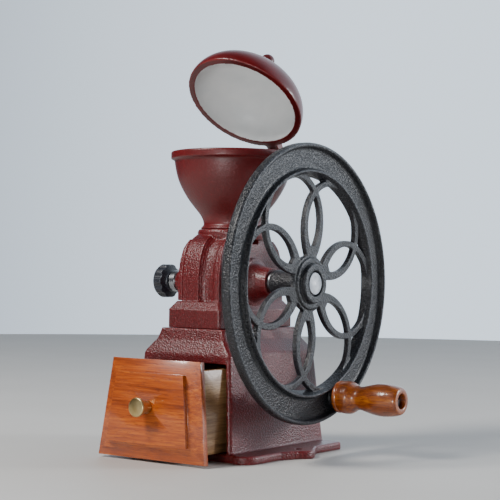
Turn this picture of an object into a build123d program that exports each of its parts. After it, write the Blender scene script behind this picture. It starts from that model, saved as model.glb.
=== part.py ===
from build123d import *
import math
import os

os.makedirs("parts", exist_ok=True)

# Driving dimensions, millimetres. Origin: hopper axis on the ground. +X along the
# shaft to the flywheel, -Y to the drawer front, +Z up.
GAP = 0.3
SHAFT_Z = 156.3

FLANGE_X = 78.9
FLANGE_FRONT = 77.0
FLANGE_BACK = 72.0
FLANGE_T = 7.1
EAR_X = 79.5
EAR_R = 13.8
EAR_HOLE_X = 77.5
EAR_HOLE_R = 3.3
BOX_LOW = (57.0, 73.6, 7.1)
BOX_HIGH = (49.6, 67.6, 91.2)
SHOULDER_LOW = (48.4, 66.8, 93.4)
SHOULDER_HIGH = (38.9, 61.6, 104.4)
DECK = (35.6, 59.4, 114.25)
WALL = 4.4
OPENING_TOP = 84.4

PLINTH = (30.0, 57.0)
PLINTH_TOP = 131.0
SEAT_Z = 114.55
BODY_X = 23.5
COVER_T = 5.2
SHOULDER = [(50.5, 158.0), (49.4, 169.0), (47.4, 179.0), (43.8, 188.0), (38.4, 194.8), (31.6, 199.2),
            (26.0, 201.2)]
LAYERS = [(-18.3, -14.4, 0.0), (-14.4, -13.6, 0.8), (-13.6, -10.4, 0.0), (-10.4, -9.6, 0.8),
          (-9.6, 0.4, 0.0), (0.4, 1.8, 1.6), (1.8, 3.6, 3.0), (3.6, 6.4, 4.2), (6.4, 14.0, 4.9),
          (14.0, 18.2, 4.3), (18.2, 20.4, 7.6), (20.4, 23.5, 0.5)]
CHAMBER_R = 22.0
CHAMBER_X = -3.0
AUGER_BORE_R = 12.6
COLLAR_TOP = 205.3

HOPPER_PROFILE = [(29.8, 205.35), (29.3, 206.8), (26.8, 209.2), (28.5, 215.9), (33.8, 223.4),
                  (41.0, 232.6), (46.7, 241.9), (51.0, 251.3), (53.5, 260.6), (55.0, 269.6)]
HOPPER_R = 58.2
HOPPER_TOP = 277.4
HOPPER_WALL = 2.6

HINGE_Y = 74.5
HINGE_Z = 279.0
LID_OPEN = 39.2
LID_R = 57.7
LID_RISE = 40.0
LID_RIM = 6.4
LID_SEAT = 277.8

WHEEL_R = 126.5
WHEEL_FRONT = 92.8
WHEEL_BACK = 82.6
LIP_IN = 122.2
FACE_X = 87.3
INNER_LIP = 102.6
BORE_R = 99.5
SPOKE_FRONT = 88.6
SPOKE_BACK = 83.6
ARC_IN_R = 37.4
ARC_OUT_R = 43.0
ARC_SIDE = 28.0
ARC_OUT = 54.5
ROOT_R = 52.0
ROOT_SIDE = 36.7
ROOT_OUT = 52.2
PETAL_TURN = -5.6
GRIP_Y = 43.0
GRIP_Z = 52.2
GRIP_R0 = 4.08

COVER_BOLTS = [(-30.0, 178.0), (30.0, 178.0), (-38.0, 146.0), (38.0, 146.0)]

SHAFT_R = 6.0
BUSH_GAP = 0.05

DRAWER_TILT = 4.1
DRAWER_BACK_Y = -102.9
DRAWER_HALF = 44.4
DRAWER_TOP = 80.5
DRAWER_FLOOR = 7.6
SIDE_T = 6.0


def along_x(shape, x, y=0, z=SHAFT_Z):
    """Turn a shape built along +Z so that it runs along +X from x."""
    return Pos(x, y, z) * Rot(0, 90, 0) * shape


def rod(radius, x0, x1, y=0, z=SHAFT_Z):
    """Cylinder along X."""
    return along_x(Pos(0, 0, (x1 - x0) / 2) * Cylinder(radius, x1 - x0), x0, y, z)


def post(radius, z0, z1, x=0, y=0):
    """Cylinder along Z."""
    return Pos(x, y, (z0 + z1) / 2) * Cylinder(radius, z1 - z0)


def block(x0, x1, y0, y1, z0, z1):
    """Box between two corners."""
    return Pos((x0 + x1) / 2, (y0 + y1) / 2, (z0 + z1) / 2) * Box(x1 - x0, y1 - y0, z1 - z0)


def frustum(low, high, corner=3.0):
    """Straight loft between two rounded rectangles given as half x, half y, z."""
    sections = [Pos(0, 0, z) * RectangleRounded(2 * a, 2 * b, corner) for a, b, z in (low, high)]
    return loft(sections, ruled=True)


def turned(points):
    """Revolve a closed r, z outline about the Z axis."""
    return revolve(Plane.XZ * make_face(Polyline(*points, close=True)), Axis.Z)


def coil(radius, wire, pitch, height):
    """Round wire wound along +Z."""
    path = Helix(pitch=pitch, height=height, radius=radius)
    section = Plane(origin=path @ 0, z_dir=path % 0) * Circle(wire)
    return sweep(section, path, is_frenet=True)


def round_head_screw(shank_r, length, head_r, head_h):
    """Screw with its head above z = 0 and the shank below, slotted."""
    shank = post(shank_r, -length, 0)
    head = post(head_r, 0, head_h)
    head = head.fillet(head_h * 0.45, head.edges().group_by(Axis.Z)[-1])
    return shank + head - block(-head_r - 1, head_r + 1, -0.6, 0.6, head_h * 0.5, head_h + 1)


def ear(side):
    """Outline of the screw-down lobe at the middle of each side of the flange."""
    corners = [(FLANGE_X - 8, -29), (FLANGE_X - 0.2, -29), (FLANGE_X + 9, -10), (FLANGE_X + 9, 10),
               (FLANGE_X - 0.2, 29), (FLANGE_X - 8, 29)]
    web = make_face(Polyline(*[(side * x, y) for x, y in corners], close=True))
    return Pos(side * EAR_X, 0) * Circle(EAR_R) + web


def flange():
    """Foot plate with its two ears, cut back in front where the drawer closes."""
    middle = (FLANGE_BACK - FLANGE_FRONT) / 2
    outline = Pos(0, middle) * RectangleRounded(2 * FLANGE_X, FLANGE_FRONT + FLANGE_BACK, 14)
    outline = outline + Pos(0, FLANGE_BACK / 2) * RectangleRounded(2 * FLANGE_X, FLANGE_BACK, 4)
    outline = outline + ear(-1) + ear(1) - Pos(0, -80) * Rectangle(124, 12.6)
    plate = extrude(outline, FLANGE_T)
    return plate.chamfer(1.2, None, plate.edges().group_by(Axis.Z)[-1])


def base_casting():
    body = flange()
    body = body + frustum(BOX_LOW, BOX_HIGH, 4) + frustum(BOX_HIGH, SHOULDER_LOW, 4)
    body = body + frustum(SHOULDER_LOW, SHOULDER_HIGH, 3) + frustum(SHOULDER_HIGH, DECK, 3)
    inner_low = (BOX_LOW[0] - WALL, BOX_LOW[1] - WALL, FLANGE_T)
    body -= frustum(inner_low, (46.0, 63.2, OPENING_TOP), 2)
    body -= frustum((44.0, 61.0, OPENING_TOP - 0.1), (31.0, 55.0, 109.5), 2)
    mouth = make_face(Polyline((-52.0, FLANGE_T), (52.0, FLANGE_T), (46.0, OPENING_TOP),
                               (-46.0, OPENING_TOP), close=True))
    body -= Pos(0, -40, 0) * extrude(Plane.XZ * mouth, 45)
    body -= frustum((50, 66, -0.1), (50, 66, 3.6), 4)
    body -= block(-18.6, 0.4, -16, 16, 108, 115)
    for side in (-1, 1):
        body -= post(EAR_HOLE_R, -1, FLANGE_T + 1, side * EAR_HOLE_X)
        for end in (-1, 1):
            body -= post(2.8, 108, 115, side * 22, end * 44)
    return body


def arch(x0, x1, inset=0.0):
    """Arched slab from x0 to x1, drawn in from the shoulder outline by inset."""
    side = [(y - inset, z - 0.5 * inset) for y, z in SHOULDER]
    low = PLINTH_TOP - 4
    other = [(-y, z) for y, z in side]
    edges = [Line((other[0][0], low), (side[0][0], low)),
             Line((side[0][0], low), side[0]),
             Spline(*side, tangents=[(0, 1), (-1, 0.2)]),
             Line(side[-1], other[-1]),
             Spline(*other, tangents=[(0, 1), (1, 0.2)]),
             Line(other[0], (other[0][0], low))]
    return Pos(x0, 0, 0) * extrude(Plane.YZ * make_face(edges), x1 - x0)


def shoulder_limits():
    """Front view limits that draw the slabs in towards the neck."""
    right = [(31, 120), (31, 131), (25.4, 138), (23.5, 141), (23.5, 176), (22.6, 188), (20.4, 197),
             (18.4, 203)]
    points = right + [(-x, z) for x, z in reversed(right)]
    return Pos(0, 70, 0) * extrude(Plane.XZ * make_face(Polyline(*points, close=True)), 140)


def bolt_circle(count, radius, start=90.0):
    """Y and Z of equally spaced points round the shaft."""
    angles = [math.radians(start + 360 * i / count) for i in range(count)]
    return [(radius * math.cos(a), SHAFT_Z + radius * math.sin(a)) for a in angles]


def mill_body():
    body = arch(*LAYERS[0])
    for layer in LAYERS[1:]:
        body = body + arch(*layer)
    body = body & shoulder_limits()
    body = body + frustum((PLINTH[0], PLINTH[1], SEAT_Z), (PLINTH[0], PLINTH[1], PLINTH_TOP), 3.2)
    body = body + frustum((PLINTH[0], PLINTH[1], PLINTH_TOP), (24.6, 51.4, 138.6), 2.4)
    boss = turned([(0, -4), (22.5, -4), (22.5, 3.4), (20.8, 4.8), (19.6, 4.8), (17.6, 6.4), (15.0, 13.4),
                   (13.8, 19.6), (13.4, 24.4), (0, 24.4)])
    body = body + along_x(boss, BODY_X)
    body = body + turned([(0, 196.0), (31.0, 196.0), (32.2, 199.6), (32.4, 202.4), (31.6, 204.4),
                          (30.4, COLLAR_TOP), (0, COLLAR_TOP)])
    body -= block(-40, -18.3, -60, 60, 138.9, 195.7)
    body -= rod(CHAMBER_R, -30, CHAMBER_X)
    body -= rod(AUGER_BORE_R, CHAMBER_X - 1, 18.0)
    body -= rod(9.0, 17.0, 60)
    body -= post(24.2, 192, 210)
    body -= loft([Pos(0, 0, 192.1) * Circle(21.5), Pos(8.6, 0, 179) * Circle(8.5)])
    body -= block(0.2, 17.0, -11.5, 11.5, SHAFT_Z, 179.2)
    body -= block(-17.6, CHAMBER_X - 0.5, -14, 14, 110, SHAFT_Z)
    for y, z in COVER_BOLTS:
        body -= rod(2.45, -19, -4, y, z)
    for side in (-1, 1):
        for end in (-1, 1):
            body -= post(2.45, 110, 126, side * 22, end * 44)
    for y, z in bolt_circle(3, 17.2):
        body -= rod(1.55, CHAMBER_X - 1, CHAMBER_X + 7, y, z)
    return body


def burr_cover():
    plate = arch(-BODY_X, -18.6) & shoulder_limits()
    plate -= block(-40, 0, -60, 60, 100, 139.2) + block(-40, 0, -60, 60, 195.4, 220)
    boss = turned([(0, -3), (19.0, -3), (19.0, 2.4), (17.6, 4.4), (14.6, 9.0), (13.6, 20.0), (12.8, 31.0),
                   (10.6, 36.4), (9.6, 37.5), (0, 37.5)])
    cover = plate + Pos(-BODY_X, 0, SHAFT_Z) * Rot(0, -90, 0) * boss
    cover -= rod(8.5, -42.0, 0)
    cover -= rod(4.06, -70, -41)
    for y, z in COVER_BOLTS:
        cover -= rod(2.75, -30, 0, y, z)
    return cover


def cover_screws():
    screw = round_head_screw(2.4, 18.0, 4.2, 2.6)
    return Compound(children=[Pos(-BODY_X - GAP, y, z) * Rot(0, -90, 0) * screw for y, z in COVER_BOLTS])


def body_screws():
    screw = Rot(180, 0, 0) * round_head_screw(2.4, 14.0, 4.4, 2.6)
    spots = [(x, y) for x in (-22, 22) for y in (-44, 44)]
    return Compound(children=[Pos(x, y, 109.2) * screw for x, y in spots])


def hopper():
    outer = Spline(*HOPPER_PROFILE[2:])
    inside = [(r - HOPPER_WALL, z + 0.6) for r, z in HOPPER_PROFILE[2:]]
    top, foot = HOPPER_PROFILE[-1], HOPPER_PROFILE[2]
    edges = [Polyline((21.5, 196.5), (24.1, 196.5), (24.1, 205.35), *HOPPER_PROFILE[:2], foot), outer,
             Polyline(top, (HOPPER_R, 270.6), (HOPPER_R, 276.6), (57.4, HOPPER_TOP), (54.6, HOPPER_TOP),
                      inside[-1]),
             Spline(*reversed(inside)),
             Polyline(inside[0], (21.5, 204.0), (21.5, 196.5))]
    bowl = revolve(Plane.XZ * make_face(edges), Axis.Z)
    lug = make_face(Polyline((55.4, 271.0), (57.0, 267.0), (62.0, 268.4), (77.5, 275.6), (79.0, 279.0),
                             (76.6, 283.0), (72.4, 283.0), (70.2, 279.6), (66.0, 276.6), (55.4, 276.6),
                             close=True))
    for side in (-1, 1):
        bowl = bowl + Pos(side * 9.4 - 2.2, 0, 0) * extrude(Plane.YZ * lug, 4.4)
    return bowl - rod(1.85, -14, 14, HINGE_Y, HINGE_Z)


def opened(shape):
    """Swing a closed lid piece up about the hinge."""
    return Pos(0, HINGE_Y, HINGE_Z) * Rot(-LID_OPEN, 0, 0) * Pos(0, -HINGE_Y, -HINGE_Z) * shape


def hopper_lid():
    rim = LID_R - LID_RIM
    curve = [(LID_R * math.cos(t), 1.2 + (LID_RISE - 1.2) * math.sin(t)) for t in
             [math.radians(a) for a in range(0, 91, 10)]]
    under = [(rim * math.cos(t), 0.6 + (LID_RISE - 3.4) * math.sin(t)) for t in
             [math.radians(a) for a in range(90, -1, -10)]]
    curve[-1] = (0, LID_RISE)
    under[0] = (0, LID_RISE - 2.8)
    edges = [Line((LID_R, 0), curve[0]), Spline(*curve), Line(curve[-1], under[0]), Spline(*under),
             Line(under[-1], (rim, 0)), Line((rim, 0), (LID_R, 0))]
    dome = Pos(0, 0, LID_SEAT) * revolve(Plane.XZ * make_face(edges), Axis.Z)
    tongue = make_face(Polyline((54.0, 278.2), (62.0, 278.2), (71.0, 276.4), (74.5, 274.9), (78.3, 277.6),
                                (78.3, 281.0), (74.5, 283.2), (66.0, 285.6), (54.0, 290.0), close=True))
    tongue = Pos(-6.4, 0, 0) * extrude(Plane.YZ * tongue, 12.8)
    hollow = Pos(0, 0, LID_SEAT) * post(rim - 0.2, -1, 14)
    lid = dome + (tongue - hollow) - rod(1.85, -14, 14, HINGE_Y, HINGE_Z)
    return opened(lid - post(2.6, LID_SEAT + LID_RISE - 1.7, 330))


def lid_knob():
    top = LID_SEAT + LID_RISE
    neck = turned([(0, top + 0.3), (5.4, top + 0.3), (5.2, top + 1.6), (3.8, top + 3.4), (3.2, top + 7.0),
                   (3.2, top + 13), (0, top + 13)])
    return opened(neck + Pos(0, 0, top + 18.6) * Sphere(7.0) + post(2.5, top - 1.5, top + 2))


def lid_hinge_pin():
    return rod(1.8, -12.2, 12.2, HINGE_Y, HINGE_Z) + rod(2.9, 12.0, 13.6, HINGE_Y, HINGE_Z)


def petal(angle):
    """Two crossing arcs that widen to the hub, the inner tip filled, drawn on the wheel plane."""
    shape = None
    lens = Circle(34)
    for side in (-1, 1):
        centre = Pos(-side * ARC_SIDE, ARC_OUT)
        inside = centre * Circle(ARC_IN_R)
        turns = [math.radians(a) for a in range(-56, 101, 12)]
        fan = [(side * (60 * math.cos(a) - ARC_SIDE), ARC_OUT + 60 * math.sin(a)) for a in turns]
        fan = [(-side * ARC_SIDE, ARC_OUT)] + fan
        arc = (centre * Circle(ARC_OUT_R) - inside) & make_face(Polyline(*fan, close=True))
        root = Pos(-side * ROOT_SIDE, ROOT_OUT) * Circle(ROOT_R) - inside
        near_hub = make_face(Polyline((0, 14), (side * 30, 14), (side * 30, 65.6), (0, 65.6), close=True))
        root = root & near_hub
        shape = arc + root if shape is None else shape + arc + root
        lens = lens & (centre * Circle(ARC_IN_R + 1))
    return Rot(0, 0, angle) * (shape + lens)


def flywheel():
    rim = turned([(95.6, 0), (124.0, 0), (126.2, 2.0), (WHEEL_R, 3.4), (WHEEL_R, 7.8), (126.1, 9.0),
                  (125.3, 9.9), (124.3, 10.2), (123.3, 9.9), (122.5, 9.0), (LIP_IN, 7.8),
                  (LIP_IN - 0.6, 5.4), (119.8, 4.7), (105.0, 4.7), (103.3, 5.4),
                  (INNER_LIP, 8.4), (102.2, 9.6), (101.1, 10.2), (100.0, 9.7), (BORE_R, 8.4)])
    wheel = rim
    spokes = Circle(25.6) - Circle(5)
    for i in range(6):
        spokes = spokes + petal(PETAL_TURN + 60 * i + 90)
    spokes = spokes & Circle(100.6)
    wheel = wheel + Pos(0, 0, SPOKE_BACK - WHEEL_BACK) * extrude(spokes, SPOKE_FRONT - SPOKE_BACK)
    hub = turned([(0, -32.0), (11.2, -32.0), (11.8, -31.4), (11.8, -4.0), (14.0, -1.2), (18.0, 0),
                  (22.4, 0.2), (23.3, 1.0), (23.3, 7.2), (22.6, 7.9), (19.6, 7.9), (18.2, 6.9),
                  (17.8, 11.4), (17.0, 12.2), (12.2, 12.2), (11.4, 11.6), (11.4, 8.7), (0, 8.7)])
    wheel = wheel + hub
    wheel = along_x(wheel, WHEEL_BACK)
    wheel = wheel + rod(9.4, FACE_X - 1, 92.0, GRIP_Y, GRIP_Z)
    wheel -= rod(SHAFT_R + 0.02, 40, 100)
    wheel -= rod(3.9, 70, 100, GRIP_Y, GRIP_Z)
    return wheel - block(60, 91, -1.52, 1.52, SHAFT_Z + 5, SHAFT_Z + 8.02)


def wheel_key():
    return block(61, 90, -1.5, 1.5, SHAFT_Z + 4.0, SHAFT_Z + 8.0)


def wheel_end_cap():
    disc = turned([(0, 0), (9.6, 0), (10.0, 0.4), (10.0, 2.4), (9.6, 2.8), (0, 3.0)])
    return along_x(disc, 91.4) + rod(3.0, 80, 91.6)


def drive_shaft():
    shaft = rod(SHAFT_R, -41.6, 91.1)
    shaft -= rod(3.02, 79.5, 92)
    shaft -= block(60.9, 90.1, -1.52, 1.52, SHAFT_Z + 3.98, SHAFT_Z + 9)
    return shaft - Pos(-12.8, 0, SHAFT_Z) * Cylinder(1.52, 20)


def front_bush():
    return rod(8.98, 24.0, 48.0) - rod(SHAFT_R + BUSH_GAP, 20, 60)


def rear_bush():
    return rod(8.48, -41.8, -18.4) - rod(SHAFT_R + BUSH_GAP, -60, 0)


def thrust_washer():
    return rod(10.4, 48.3, 50.2) - rod(SHAFT_R + 0.06, 40, 60)


def thrust_spring():
    spring = Pos(18.9, 0, SHAFT_Z) * Rot(0, 90, 0) * coil(7.7, 0.75, 2.0, 4.0)
    return spring


def feed_auger():
    core = rod(8.2, -2.0, 17.4)
    path = Helix(pitch=10.5, height=17.0, radius=9.6)
    blade = Plane(origin=path @ 0, x_dir=(1, 0, 0), z_dir=path % 0) * Rectangle(4.6, 2.4)
    flight = sweep(blade, path, is_frenet=True)
    auger = core + Pos(-1.0, 0, SHAFT_Z) * Rot(0, 90, 0) * flight
    auger &= rod(AUGER_BORE_R - 0.5, -2.2, 17.6)
    return auger - rod(SHAFT_R + 0.02, -10, 30)


def fixed_burr():
    burr = rod(20.6, -8.6, CHAMBER_X - 0.1) - rod(12.8, -20, 0)
    burr -= along_x(Cone(16.6, 12.6, 3.2, align=(Align.CENTER, Align.CENTER, Align.MIN)), -8.7)
    for i in range(24):
        cut = Rot(15 * i + 8, 0, 0) * Pos(0, 17.0, 0) * Box(1.6, 9.4, 1.1)
        burr -= Pos(-8.6, 0, SHAFT_Z) * cut
    for y, z in bolt_circle(3, 17.2):
        burr -= rod(1.7, -10, 0, y, z) + rod(3.1, -10, -6.2, y, z)
    return burr


def fixed_burr_screws():
    screw = post(1.5, -8.0, 0) + Cone(1.5, 2.9, 1.5, align=(Align.CENTER, Align.CENTER, Align.MIN))
    screw -= block(-4, 4, -0.4, 0.4, 0.8, 3)
    spots = bolt_circle(3, 17.2)
    return Compound(children=[Pos(-6.0, y, z) * Rot(0, -90, 0) * screw for y, z in spots])


def rotating_burr():
    burr = rod(20.6, -16.8, -9.2)
    burr = burr + along_x(Cone(11.6, 8.0, 5.4, align=(Align.CENTER, Align.CENTER, Align.MIN)), -9.3)
    for i in range(24):
        burr -= Pos(-9.2, 0, SHAFT_Z) * Rot(15 * i, 0, 0) * Pos(0, 17.4, 0) * Box(1.6, 8.4, 1.1)
    burr -= rod(SHAFT_R + 0.02, -30, 0)
    return burr - Pos(-12.8, 0, SHAFT_Z) * Cylinder(1.52, 50)


def burr_pin():
    return Pos(-12.8, 0, SHAFT_Z) * Cylinder(1.5, 34)


def adjusting_screw():
    screw = rod(4.0, -81.5, -41.9)
    return screw.fillet(0.6, screw.edges().group_by(Axis.X)[0])


def lock_nut():
    nut = turned([(0, 0), (9.4, 0), (10.2, 0.9), (10.2, 6.4), (9.4, 7.4), (0, 7.4)])
    return along_x(nut, -68.8) - rod(4.05, -80, -50)


def adjusting_knob():
    hub = turned([(0, 0), (9.5, 0), (10.4, 1.8), (14.0, 3.0), (16.2, 3.6), (16.4, 11.0), (14.9, 13.4),
                  (12.6, 14.2), (0, 14.2)])
    for i in range(10):
        hub -= Rot(0, 0, 36 * i) * Pos(18.8, 0, 8) * Cylinder(4.0, 20)
    knob = Pos(-70.2, 0, SHAFT_Z) * Rot(0, -90, 0) * hub
    return knob - rod(4.02, -81.7, -60)


def crank_grip():
    outline = [(GRIP_R0, 93.2), (13.4, 93.2), (14.5, 94.0), (14.8, 95.6), (14.5, 97.0), (13.9, 97.7),
               (14.6, 98.6), (15.1, 102.6), (14.9, 106.0)]
    swell = [(14.9, 106.0), (13.2, 110.2), (11.3, 113.4), (10.6, 116.6), (11.2, 121.0), (12.7, 127.0),
             (14.0, 133.0), (14.7, 139.5), (14.5, 147.0), (13.7, 153.0), (12.6, 157.4)]
    edges = [Polyline(*outline), Spline(*swell),
             Polyline(swell[-1], (11.8, 158.9), (10.6, 159.5), (7.4, 159.5), (6.8, 158.8), (6.8, 151.0),
                      (GRIP_R0, 151.0), (GRIP_R0, 93.2))]
    wood = revolve(Plane.XZ * make_face(edges), Axis.Z)
    return along_x(wood, 0, GRIP_Y, GRIP_Z)


def grip_washer():
    return rod(8.0, 92.2, 92.9, GRIP_Y, GRIP_Z) - rod(4.1, 80, 100, GRIP_Y, GRIP_Z)


def grip_bolt():
    bolt = rod(4.0, 92.1, 151.5, GRIP_Y, GRIP_Z) + rod(3.86, 83.5, 93, GRIP_Y, GRIP_Z)
    head = rod(6.2, 151.3, 154.4, GRIP_Y, GRIP_Z)
    head -= Pos(154.4, GRIP_Y, GRIP_Z) * Rot(35, 0, 0) * Box(2.4, 14, 1.5)
    return bolt + head


def front_plane(offset=0.0):
    """Plane of the drawer front's back face, pushed outward by offset."""
    t = math.radians(DRAWER_TILT)
    out = Vector(0, -math.cos(t), math.sin(t))
    return Plane(origin=Vector(0, DRAWER_BACK_Y, 88.4) + out * offset, x_dir=(1, 0, 0), z_dir=out)


def drawer_front():
    outer = make_face(Polyline((-49.2, 0), (49.2, 0), (60.0, -86.8), (-60.0, -86.8), close=True))
    inner = make_face(Polyline((-37.6, -12.0), (37.6, -12.0), (45.2, -73.4), (-45.2, -73.4), close=True))
    edge = front_plane() * extrude(outer, 5.4)
    bevel = loft([front_plane(5.4) * outer, front_plane(9.4) * inner], ruled=True)
    field = front_plane(9.3) * extrude(inner, 4.2)
    front = edge + bevel + field
    return front - drawer_spindle(2.05, 30)


def drawer_spindle(radius, length):
    """Cylinder on the drawer knob's axis, starting behind the front panel."""
    return front_plane(-8) * Pos(0, -41.5, length / 2) * Cylinder(radius, length)


def drawer_box_end():
    """Space the tilted front needs, to be cut from the box pieces."""
    return front_plane(-0.1) * Pos(0, -40, 30) * Box(200, 200, 60)


def drawer_side(side):
    x0, x1 = sorted((side * DRAWER_HALF, side * (DRAWER_HALF - SIDE_T)))
    return block(x0, x1, -112, 16, DRAWER_FLOOR, DRAWER_TOP) - drawer_box_end()


def drawer_back():
    inner = DRAWER_HALF - SIDE_T - 0.1
    return block(-inner, inner, 10, 16, DRAWER_FLOOR + 0.2, DRAWER_TOP - 4)


def drawer_bottom():
    inner = DRAWER_HALF - SIDE_T - 0.1
    return block(-inner, inner, -112, 9.9, DRAWER_FLOOR + 1.0, DRAWER_FLOOR + 5.0) - drawer_box_end()


def drawer_knob():
    knob = turned([(0, 0), (5.4, 0), (5.2, 2.6), (6.0, 6.8), (7.6, 11.0), (8.4, 12.8), (8.4, 14.0),
                   (7.8, 14.8), (0, 15.1)])
    knob = front_plane(13.8) * Pos(0, -41.5, 0) * knob
    return knob - drawer_spindle(1.55, 34.2)


def drawer_knob_screw():
    screw = post(1.5, 0, 27.0) + Pos(0, 0, -1.6) * Cylinder(3.4, 3.2)
    return front_plane(-1.4) * Pos(0, -41.5, 0) * screw


NODES = {
    "base_casting": base_casting, "mill_body": mill_body, "burr_cover": burr_cover,
    "cover_screws": cover_screws, "body_screws": body_screws, "hopper": hopper, "hopper_lid": hopper_lid,
    "lid_knob": lid_knob, "lid_hinge_pin": lid_hinge_pin, "flywheel": flywheel, "wheel_key": wheel_key,
    "wheel_end_cap": wheel_end_cap, "drive_shaft": drive_shaft, "front_bush": front_bush,
    "rear_bush": rear_bush, "thrust_washer": thrust_washer, "thrust_spring": thrust_spring,
    "feed_auger": feed_auger, "fixed_burr": fixed_burr, "fixed_burr_screws": fixed_burr_screws,
    "rotating_burr": rotating_burr, "burr_pin": burr_pin, "adjusting_screw": adjusting_screw,
    "lock_nut": lock_nut, "adjusting_knob": adjusting_knob, "crank_grip": crank_grip,
    "grip_washer": grip_washer, "grip_bolt": grip_bolt, "drawer_front": drawer_front,
    "drawer_side_left": lambda: drawer_side(-1), "drawer_side_right": lambda: drawer_side(1),
    "drawer_back": drawer_back, "drawer_bottom": drawer_bottom, "drawer_knob": drawer_knob,
    "drawer_knob_screw": drawer_knob_screw,
}

for name, make in NODES.items():
    shape = make()
    export_step(shape, f"parts/{name}.step")
    print(name, len(shape.solids()), round(sum(s.volume for s in shape.solids()) / 1000, 2), "cm3")
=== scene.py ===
import bpy
import math
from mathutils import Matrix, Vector


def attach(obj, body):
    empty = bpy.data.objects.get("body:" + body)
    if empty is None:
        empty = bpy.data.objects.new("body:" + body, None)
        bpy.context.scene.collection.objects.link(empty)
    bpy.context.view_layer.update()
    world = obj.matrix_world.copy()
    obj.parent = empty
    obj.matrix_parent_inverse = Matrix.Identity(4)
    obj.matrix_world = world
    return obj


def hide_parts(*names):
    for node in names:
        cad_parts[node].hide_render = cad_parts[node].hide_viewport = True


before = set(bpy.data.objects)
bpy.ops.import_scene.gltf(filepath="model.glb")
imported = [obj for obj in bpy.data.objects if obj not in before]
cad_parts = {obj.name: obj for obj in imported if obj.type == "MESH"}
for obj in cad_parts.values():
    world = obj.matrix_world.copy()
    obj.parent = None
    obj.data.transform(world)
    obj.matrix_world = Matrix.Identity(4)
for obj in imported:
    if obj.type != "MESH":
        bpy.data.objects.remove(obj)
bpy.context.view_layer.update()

# --- Foot casting ------------------------------------------------------------------
# Grey iron sand casting, hollow below, that the mill stands on and the drawer slides into.
# It is fettled, then coated in thick red enamel whose skin dries with a fine hammered texture.
# Four screws through its deck hold the mill body, and two ears take the bench screws.


class Wire:
    """The value on a socket. Sums written with it become Math nodes."""

    def __init__(self, finish, socket):
        self.finish = finish
        self.socket = socket

    def maths(self, operation, first, second):
        return self.finish.node("ShaderNodeMath", {"operation": operation}, {0: first, 1: second})

    def __add__(self, other):
        return self.maths("ADD", self, other)

    def __radd__(self, other):
        return self.maths("ADD", other, self)

    def __sub__(self, other):
        return self.maths("SUBTRACT", self, other)

    def __rsub__(self, other):
        return self.maths("SUBTRACT", other, self)

    def __mul__(self, other):
        return self.maths("MULTIPLY", self, other)

    def __rmul__(self, other):
        return self.maths("MULTIPLY", other, self)

    def __pow__(self, other):
        return self.maths("POWER", self, other)

    def rise(self, low, high):
        """0 at low, 1 at high, smooth between."""
        return self.finish.node("ShaderNodeMapRange", {"interpolation_type": "SMOOTHSTEP"},
                                {"Value": self, "From Min": low, "From Max": high})


class Finish:
    """A material, or the light of the room, while it is being mixed."""

    def __init__(self, name, shelf=bpy.data.materials):
        self.owner = shelf.new(name)
        self.owner.use_nodes = True
        self.tree = self.owner.node_tree
        self.tree.nodes.clear()

    def node(self, kind, settings=None, values=None, output=0):
        """Adds a node: its settings first, then values or links for its sockets."""
        made = self.tree.nodes.new(kind)
        for name, value in (settings or {}).items():
            if name == "stops":
                ramp = made.color_ramp
                ramp.elements.remove(ramp.elements[1])
                ramp.elements[0].position, ramp.elements[0].color = value[0]
                for spot, shade in value[1:]:
                    ramp.elements.new(spot).color = shade
            else:
                setattr(made, name, value)
        for name, value in (values or {}).items():
            if isinstance(value, Wire):
                self.tree.links.new(value.socket, made.inputs[name])
            else:
                made.inputs[name].default_value = value
        return Wire(self, made.outputs[output]) if made.outputs else None

    def place(self, centre=(0, 0, 0), turn=(0, 0, 0), stretch=(1, 1, 1)):
        """Object coordinates in metres from centre, turned and stretched to suit the piece."""
        where = self.node("ShaderNodeTexCoord", output="Object")
        moved = self.node("ShaderNodeVectorMath", {"operation": "SUBTRACT"}, {0: where, 1: centre})
        turned = self.node("ShaderNodeMapping", None, {"Vector": moved, "Rotation": turn})
        return self.node("ShaderNodeVectorMath", {"operation": "MULTIPLY"}, {0: turned, 1: stretch})

    def axes(self, vector):
        """The X, Y and Z of a vector."""
        first = self.node("ShaderNodeSeparateXYZ", None, {0: vector})
        return [Wire(self, output) for output in first.socket.node.outputs]

    def noise(self, vector, scale, detail=2.0, roughness=0.5, distortion=0.0):
        return self.node("ShaderNodeTexNoise", None,
                         {"Vector": vector, "Scale": scale, "Detail": detail, "Roughness": roughness,
                          "Distortion": distortion})

    def blend(self, amount, first, second, mode="MIX"):
        """Mixes two colours."""
        return self.node("ShaderNodeMix", {"data_type": "RGBA", "blend_type": mode},
                         {0: amount, 6: first, 7: second}, 2)

    def bump(self, height, depth):
        return self.node("ShaderNodeBump", None, {"Height": height, "Distance": depth, "Strength": 1.0})

    def edge(self):
        """1 on outside corners, where paint lies thin and hands polish it, and where a painted highlight
        lightens the colour.
        """
        flat, corner = 0.505, 0.56
        return self.node("ShaderNodeNewGeometry", output="Pointiness").rise(flat, corner)

    def coat(self, **sockets):
        """Closes the material with one Principled surface."""
        sockets = {name.replace("_", " "): value for name, value in sockets.items()}
        surface = self.node("ShaderNodeBsdfPrincipled", None, sockets)
        self.node("ShaderNodeOutputMaterial", None, {"Surface": surface})
        return self.owner


def shade(red, green, blue):
    """A colour given as 0 to 255 for each of red, green and blue, as amounts of light."""
    return tuple(((v / 255 + 0.055) / 1.055) ** 2.4 for v in (red, green, blue)) + (1.0,)


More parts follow.
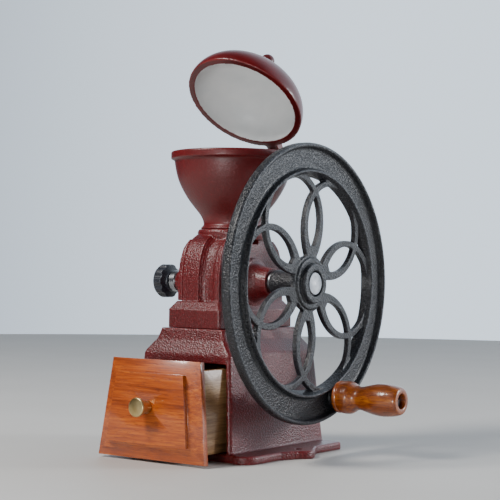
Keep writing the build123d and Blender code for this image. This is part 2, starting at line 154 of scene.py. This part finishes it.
def hammered(name, deep, full, wear_and_highlight, size, depth, rough, coat):
    """Thick stoved enamel that dries in a fine hammered skin, paler where it lies thin on a corner, with a
    painted highlight on its dimple crests and corners.
    """
    paint = Finish(name)
    at = paint.place()
    peel = paint.noise(at, 0.8 / size, 2.0, 0.55)
    dimples = paint.node("ShaderNodeTexVoronoi", {"feature": "SMOOTH_F1"},
                         {"Vector": at, "Scale": 0.8 / size, "Smoothness": 0.35})
    fine = paint.noise(at, 2.2 / size, 2.0, 0.6)
    skin = dimples * 0.9 + peel * 0.5 + fine * 0.3
    cloud = paint.noise(at, 12.0, 4.0, 0.6).rise(0.32, 0.72)
    body = paint.blend(cloud * 0.6 + peel * 0.4, deep, full)
    # Painted highlight: the crests of the hammered dimples are lightened toward the pale colour, as gloss
    # catching the light.
    crest_highlight = dimples.rise(0.30, 0.62) * peel.rise(0.42, 0.62)
    body = paint.blend(crest_highlight * 0.22, body, wear_and_highlight)
    # Corners are lightened toward the same pale colour: partly thin, worn paint and partly a painted
    # highlight.
    body = paint.blend(paint.edge() * (peel * 0.5), body, wear_and_highlight)
    return paint.coat(Base_Color=body, Roughness=rough + peel * 0.12 + cloud * 0.03,
                      Normal=paint.bump(skin, depth), Coat_Weight=coat, Coat_Roughness=0.2,
                      Specular_IOR_Level=0.5)


def alone(piece=None):
    """Leaves this piece, or nothing, selected in object mode."""
    if bpy.context.object and bpy.context.object.mode != "OBJECT":
        bpy.ops.object.mode_set(mode="OBJECT")
    bpy.ops.object.select_all(action="DESELECT")
    if piece:
        piece.select_set(True)
        bpy.context.view_layer.objects.active = piece


def apply(piece, kind, **settings):
    """Gives a piece one modifier and applies it."""
    alone(piece)
    modifier = piece.modifiers.new("work", kind)
    for name, value in settings.items():
        setattr(modifier, name, value)
    bpy.ops.object.modifier_apply(modifier=modifier.name)


SAME_POINT = 0.00001


def pattern_from(node, name):
    """One skin in the shape of a solid of the frame, its loose facets joined."""
    piece = bpy.data.objects.new(name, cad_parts[node].data.copy())
    piece.data.materials.clear()
    bpy.context.scene.collection.objects.link(piece)
    alone(piece)
    bpy.ops.mesh.customdata_custom_splitnormals_clear()
    bpy.ops.object.mode_set(mode="EDIT")
    bpy.ops.mesh.select_all(action="SELECT")
    bpy.ops.mesh.remove_doubles(threshold=SAME_POINT)
    alone(piece)
    return piece


def sand_cast(node, name, grain, passes):
    """A pattern poured in sand: an even fine skin with every corner a little rounded."""
    piece = pattern_from(node, name)
    apply(piece, "REMESH", mode="VOXEL", voxel_size=grain)
    apply(piece, "SMOOTH", factor=0.5, iterations=passes)
    bpy.ops.object.shade_smooth()
    return piece


def fettled(piece, share):
    """Files a large skin down to a share of its facets, fewest where it is flat."""
    apply(piece, "DECIMATE", ratio=share)
    bpy.ops.object.shade_smooth()


def fit(piece, finish, body, slot, *nodes):
    """Paints a piece, hangs it on its body and lets it stand for its solids."""
    piece.data.materials.clear()
    piece.data.materials.append(finish)
    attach(piece, body)
    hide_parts(*nodes)


# The third colour is the pale pink used for worn corners and for the painted highlight on crests and corners.
red_hammered = hammered("red hammered enamel", shade(66, 1, 5), shade(96, 4, 9), shade(168, 58, 62),
                        0.0012, 0.00046, 0.27, 0.15)
foot = sand_cast("base_casting", "foot_casting", 0.0010, 2)
fettled(foot, 0.6)
fit(foot, red_hammered, "frame", "red_enamel", "base_casting")

# --- Mill body and burr cover -------------------------------------------------------
# Second iron casting, a round-shouldered block with a plinth, moulded edges and a shaft boss.
# A matching cover plate closes the burr chamber on the knob side with four screws.
# Both are enamelled with the foot, in the same hammered red.


def hollow_out(piece, low, high, passes):
    """Smooths the moulding between two X planes into one sweeping hollow."""
    plinth_top, neck, fade = 0.139, 0.2, 0.0016
    group = piece.vertex_groups.new(name="moulding")
    for vertex in piece.data.vertices:
        x = vertex.co.x
        weight = min((x - low) / fade, (high - x) / fade, 1.0)
        if weight > 0 and plinth_top < vertex.co.z < neck:
            group.add([vertex.index], weight, "REPLACE")
    apply(piece, "SMOOTH", factor=0.5, iterations=passes, vertex_group="moulding")
    piece.vertex_groups.clear()


mill = sand_cast("mill_body", "mill_casting", 0.00058, 2)
hollow_out(mill, 0.0012, 0.0178, 30)
fettled(mill, 0.42)
fit(mill, red_hammered, "frame", "red_enamel", "mill_body")
cover = sand_cast("burr_cover", "burr_cover_casting", 0.0009, 2)
fit(cover, red_hammered, "frame", "red_enamel", "burr_cover")

# --- Hopper ------------------------------------------------------------------------
# Thin cast iron bowl with a turned lip, pinned on the neck of the mill body.
# Its enamel is stoved smoother than the castings below, with only a faint orange peel.
# Two lugs at the back of the lip carry the hinge of the lid.
# The third colour is the pale red used for worn corners and for the painted highlight on crests and corners.
hopper_red = hammered("smooth red enamel", shade(78, 2, 5), shade(98, 4, 8), shade(112, 14, 16),
                      0.0016, 0.00012, 0.36, 0.15)
hopper = sand_cast("hopper", "hopper_bowl", 0.0009, 2)
fit(hopper, hopper_red, "frame", "red_enamel", "hopper")

# --- Lid ---------------------------------------------------------------------------
# Cast domed cap that swings up on a pin between the two lugs, with a ball to lift it by.
# Outside and on its rim it is enamelled red, inside it is white enamel.
HINGE = (0.0, 0.0745, 0.279)
LID_OPEN = 39.2
RIM_R = 0.0513
SHELL_R = 0.0545
SHELL_RISE = 0.0385
LID_SEAT = -0.0012


def lid_enamel():
    paint = Finish("lid enamel, red and white")
    turn = math.radians(LID_OPEN)
    across, along, up = paint.axes(paint.place(HINGE, (turn, 0, 0)))
    along = along + HINGE[1]
    up = up - LID_SEAT
    radius = (across * across + along * along) ** 0.5
    shell = (radius * (1 / SHELL_R)) ** 2 + (up * (1 / SHELL_RISE)) ** 2
    inside = (1 - shell.rise(0.985, 1.0)) * up.rise(0.0001, 0.0004) * (1 - radius.rise(RIM_R, RIM_R + 0.0003))
    at = paint.place()
    peel = paint.noise(at, 380.0, 2.0)
    cloud = paint.noise(at, 30.0, 3.0).rise(0.3, 0.7)
    red = paint.blend(cloud, shade(78, 2, 5), shade(98, 4, 8))
    # The lid's outside corners are lightened toward pale red: partly worn paint and partly a painted
    # highlight.
    red = paint.blend(paint.edge() * 0.4, red, shade(140, 44, 44))
    white = paint.blend(cloud, shade(230, 234, 234), shade(242, 244, 243))
    return paint.coat(Base_Color=paint.blend(inside, red, white), Roughness=0.28 + peel * 0.1 + inside * 0.16,
                      Normal=paint.bump(peel, 0.0001), Coat_Weight=0.15, Coat_Roughness=0.2)


lid_paint = lid_enamel()
lid = sand_cast("hopper_lid", "lid_dome", 0.0009, 2)
fit(lid, lid_paint, "lid", "lid_enamel", "hopper_lid")
ball = sand_cast("lid_knob", "lid_ball", 0.0004, 3)
fit(ball, hopper_red, "lid", "lid_enamel", "lid_knob")

# --- Flywheel ----------------------------------------------------------------------
# Heavy iron wheel with two thin lips round its face, six petals of crossed arcs and a long hub.
# It is finished in blue black hammered paint and keyed on the shaft.
# The third colour is the cool blue grey used for worn corners and for the painted highlight on crests and
# corners.
wheel_black = hammered("black hammered paint", shade(13, 14, 18), shade(22, 23, 28), shade(84, 88, 98),
                       0.0013, 0.00080, 0.27, 0.1)
wheel = sand_cast("flywheel", "flywheel_casting", 0.00064, 1)
fettled(wheel, 0.37)
fit(wheel, wheel_black, "crank", "wheel_black", "flywheel")

# --- Shaft, bearings and burrs --------------------------------------------------------
# Turned steel shaft in bronze bushes, with hard iron burrs, an auger, a thrust spring and washer.
# These are left bare from the machine, so their marks run round the shaft.
SHAFT = (0.0, 0.0, 0.1563)


def from_lathe(name, dull, bright, rough, centre):
    """Bare metal with fine tool marks running round an axis along X."""
    metal_skin = Finish(name)
    along, across, up = metal_skin.axes(metal_skin.place(centre))
    radius = (across * across + up * up) ** 0.5
    lines = metal_skin.node("ShaderNodeCombineXYZ", None, {0: along, 1: radius})
    marks = metal_skin.noise(lines, 2600.0, 3.0, 0.7)
    cloud = metal_skin.noise(metal_skin.place(), 90.0, 3.0).rise(0.3, 0.7)
    body = metal_skin.blend(cloud * 0.6 + marks * 0.3, dull, bright)
    return metal_skin.coat(Base_Color=body, Metallic=1.0, Roughness=rough + marks * 0.12 + cloud * 0.06,
                           Normal=metal_skin.bump(marks, 0.00004))


steel = from_lathe("turned steel", shade(128, 130, 134), shade(196, 197, 200), 0.22, SHAFT)
bronze = from_lathe("bearing bronze", shade(140, 98, 58), shade(184, 140, 88), 0.3, SHAFT)
burr_iron = from_lathe("hard burr iron", shade(62, 62, 64), shade(104, 104, 106), 0.42, SHAFT)
spring = from_lathe("spring steel wire", shade(96, 98, 102), shade(150, 152, 156), 0.3, SHAFT)
bare_metal = {
    "drive_shaft": steel, "thrust_washer": steel, "adjusting_screw": steel, "wheel_key": steel,
    "burr_pin": steel, "lid_hinge_pin": steel, "cover_screws": steel, "body_screws": steel,
    "fixed_burr_screws": steel, "front_bush": bronze, "rear_bush": bronze, "thrust_spring": spring,
    "feed_auger": burr_iron, "fixed_burr": burr_iron, "rotating_burr": burr_iron, "lock_nut": steel,
    "wheel_end_cap": steel, "grip_washer": steel, "grip_bolt": steel, "drawer_knob_screw": steel,
}
for node, metal in bare_metal.items():
    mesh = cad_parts[node].data
    mesh.materials.clear()
    mesh.materials.append(metal)

# --- Adjusting knob -------------------------------------------------------------------
# Moulded black plastic knob with ten finger lobes, pressed on the adjusting screw.
# Turning it moves the rotating burr in or out, and the round steel nut beside it locks it.


def moulded_plastic():
    skin = Finish("moulded black plastic")
    at = skin.place()
    grain = skin.noise(at, 1500.0, 2.0)
    cloud = skin.noise(at, 60.0, 3.0).rise(0.3, 0.7)
    body = skin.blend(cloud, shade(22, 24, 30), shade(38, 41, 50))
    # The lobe edges are lightened toward blue grey: partly rubbed plastic and partly a painted highlight.
    body = skin.blend(skin.edge() * 0.4, body, shade(84, 90, 104))
    return skin.coat(Base_Color=body, Roughness=0.34 + grain * 0.12, Normal=skin.bump(grain, 0.00006))


finger_knob = sand_cast("adjusting_knob", "adjusting_knob_lobed", 0.0005, 2)
fit(finger_knob, moulded_plastic(), "adjuster", "black_plastic", "adjusting_knob")

# --- Crank grip -----------------------------------------------------------------------
# Hardwood handle turned on a lathe, with a collar and groove at the wheel and a recess for the bolt.
# Stained red brown and lacquered to a gloss, it spins freely on its bolt.
GRIP = (0.0, 0.043, 0.0522)


def timber(name, dark, middle, pale, centre, turn, gloss):
    """Stained and lacquered hardwood with its grain along X."""
    wood = Finish(name)
    board = wood.place(centre, turn, (0.05, 1, 1))
    bands = wood.noise(board, 62.0, 3.0, 0.55, 0.8)
    lines = wood.noise(board, 620.0, 3.0, 0.6)
    pores = wood.noise(wood.place(centre, turn, (0.10, 1, 1)), 1100.0, 2.0, 0.6).rise(0.54, 0.68)
    figure = bands * 0.45 + lines * 0.55
    stain = [(0.30, dark), (0.50, middle), (0.68, pale)]
    body = wood.node("ShaderNodeValToRGB", {"stops": stain}, {0: figure})
    body = wood.blend(pores * 0.55, body, dark)
    height = lines * 0.4 - pores * 0.6
    return wood.coat(Base_Color=body, Roughness=0.34 + lines * 0.12, Normal=wood.bump(height, 0.00008),
                     Coat_Weight=gloss, Coat_Roughness=0.1)


grip_wood = timber("turned red wood", shade(78, 26, 2), shade(146, 68, 4), shade(198, 114, 20), GRIP,
                   (0, 0, 0), 0.8)
grip = sand_cast("crank_grip", "crank_grip_turned", 0.0006, 1)
fit(grip, grip_wood, "grip", "wood_red", "crank_grip")

# --- Drawer -----------------------------------------------------------------------------
# Box of plain light boards, grooved together and glued behind a thick sloping front.
# The front is a fielded panel, bevelled all round, stained and lacquered like the grip.
# A turned brass knob is held on it by a screw from inside.


def planed(node, name, edge):
    """A board or turned piece with its corners eased by hand."""
    piece = pattern_from(node, name)
    bpy.ops.object.mode_set(mode="EDIT")
    bpy.ops.mesh.select_all(action="SELECT")
    bpy.ops.mesh.dissolve_limited(angle_limit=math.radians(1.0))
    apply(piece, "BEVEL", width=edge, segments=2, limit_method="ANGLE", angle_limit=math.radians(30))
    alone(piece)
    bpy.ops.object.shade_smooth_by_angle(angle=math.radians(28))
    return piece


front_wood = timber("lacquered red wood", shade(100, 34, 1), shade(160, 70, 2), shade(198, 102, 12),
                    (0, -0.11, 0.045), (math.radians(-4.1), 0, 0), 0.7)
front = planed("drawer_front", "drawer_front_panel", 0.0006)
fit(front, front_wood, "drawer", "wood_red", "drawer_front")
box_wood = timber("plain drawer wood", shade(108, 74, 44), shade(150, 112, 72), shade(190, 154, 108),
                  (0, 0, 0.04), (0, 0, math.radians(90)), 0.15)
for node, name in (("drawer_side_left", "drawer_left_board"), ("drawer_side_right", "drawer_right_board"),
                   ("drawer_back", "drawer_back_board"), ("drawer_bottom", "drawer_bottom_board")):
    board = planed(node, name, 0.0005)
    fit(board, box_wood, "drawer", "wood_box", node)
brass = from_lathe("turned brass", shade(168, 140, 84), shade(226, 204, 150), 0.24, (0, 0, 0.047))
brass_knob = planed("drawer_knob", "drawer_knob_turned", 0.0003)
fit(brass_knob, brass, "drawer", "brass", "drawer_knob")

# --- Bench, lamps and camera ---------------------------------------------------------------
# The mill stands on a plain pale bench under soft studio lamps.
bench_paint = Finish("pale bench")
bench_tone = bench_paint.noise(bench_paint.place(), 6.0, 3.0)
bench_paint.coat(Base_Color=bench_paint.blend(bench_tone, shade(192, 189, 184), shade(202, 199, 195)),
                 Roughness=0.6)
alone()
just_below = -0.0002
bpy.ops.mesh.primitive_circle_add(vertices=96, radius=2.2, fill_type="NGON", location=(0, 0, just_below))
bench = bpy.context.object
bench.name = "bench"
bench.data.materials.append(bench_paint.owner)



def room_light():
    """A bright wall behind the bench and to the wheel's side, and a dim room in front."""
    room = Finish("room", bpy.data.worlds)
    across, along, _ = room.axes(room.node("ShaderNodeTexCoord", output="Generated"))
    wall = (across * 0.25 + along * 0.95).rise(0.1, 0.7)
    tone = room.blend(wall, shade(44, 46, 52), shade(214, 228, 242))
    glow = room.node("ShaderNodeBackground", None, {"Color": tone, "Strength": 1.7})
    room.node("ShaderNodeOutputWorld", None, {"Surface": glow})
    return room.owner


bpy.context.scene.world = room_light()


def lamp(name, spot, aim, size, power, tint):
    """A soft box lamp at spot, facing aim."""
    light = bpy.data.lights.new(name, "AREA")
    light.shape = "RECTANGLE"
    light.size, light.size_y = size
    light.energy = power
    light.color = tint
    holder = bpy.data.objects.new(name, light)
    holder.location = spot
    holder.rotation_euler = (Vector(aim) - Vector(spot)).to_track_quat("-Z", "Y").to_euler()
    bpy.context.scene.collection.objects.link(holder)


lamp("window lamp", (-0.60, -1.20, 1.45), (0, 0, 0.15), (0.5, 0.5), 40, (1.0, 0.98, 0.95))
lamp("side lamp", (1.5, 1.15, 0.55), (0, 0, 0.15), (0.4, 0.4), 22, (0.97, 0.98, 1.0))
lamp("low lamp", (0.45, -1.6, 0.12), (0, 0.1, 0.33), (0.3, 0.2), 9, (0.97, 0.99, 1.0))

eye = bpy.data.cameras.new("camera")
eye.sensor_width = 36
eye.lens = 96.923
eye.clip_start = 0.01
camera = bpy.data.objects.new("camera", eye)
camera.location = (0.75857, -1.00827, 0.16746)
camera.rotation_euler = (1.585905, -0.0131, 0.631451)
bpy.context.scene.collection.objects.link(camera)
bpy.context.scene.camera = camera

bpy.context.view_layer.update()
